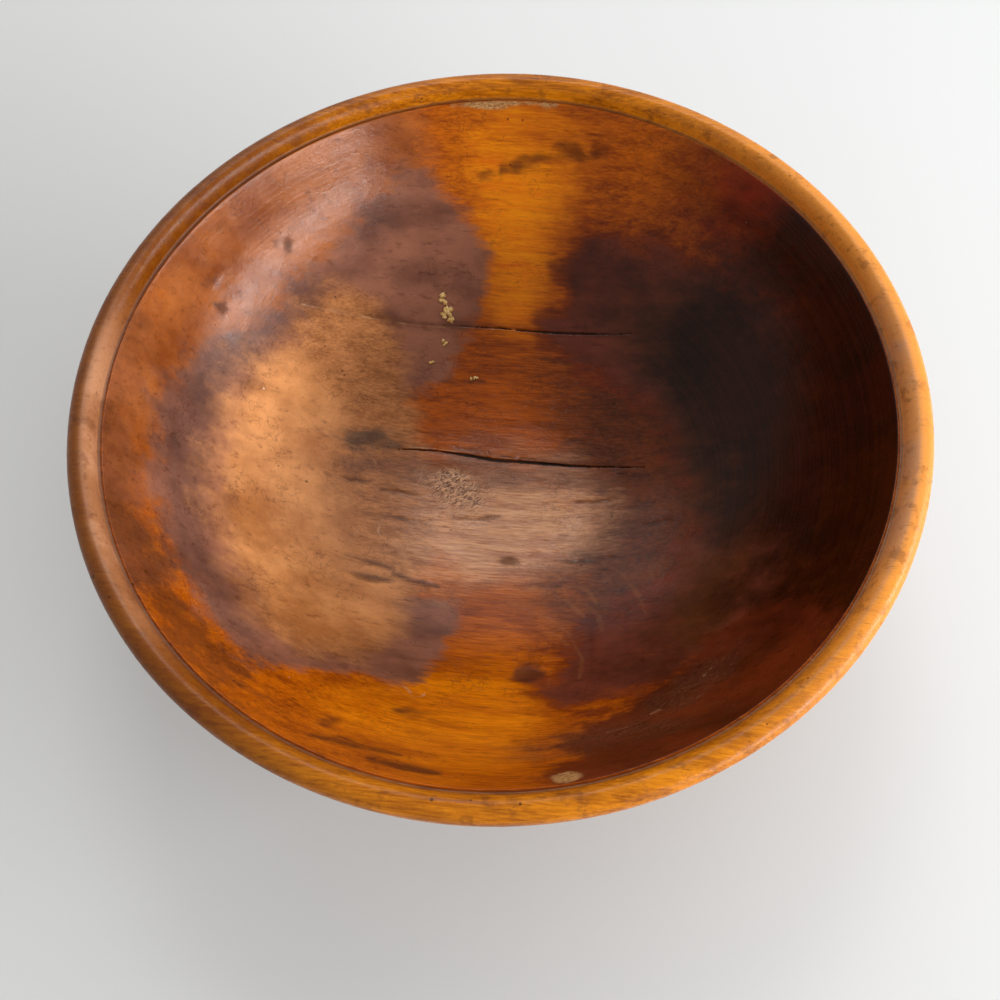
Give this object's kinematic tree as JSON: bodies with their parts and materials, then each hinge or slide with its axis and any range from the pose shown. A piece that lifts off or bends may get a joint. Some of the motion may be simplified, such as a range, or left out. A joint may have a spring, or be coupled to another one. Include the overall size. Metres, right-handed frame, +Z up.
{
  "type": "dough bowl",
  "caption": "Round wooden mixing bowl turned from one blank, with a rolled rim bead, a flat foot and old cracks along the grain.",
  "frame": {"origin": "centre of the foot, on the surface that the bowl stands on", "axes": "+Z up along the turning axis, grain close to X, -Y towards the viewer of the picture"},
  "size_m": [0.356, 0.3558, 0.13],
  "materials": {
    "aged_wood": "old oiled satin, amber with dark purple-brown stains",
    "packed_grime": "matte, hardened dark grime and wax",
    "dried_residue": "matte, dry pale golden crust"
  },
  "bodies": {
    "root": {"bowl": "aged_wood", "main_crack_packing": "packed_grime", "rear_crack_packing": "packed_grime", "residue_flakes": "dried_residue"}
  },
  "joints": []
}
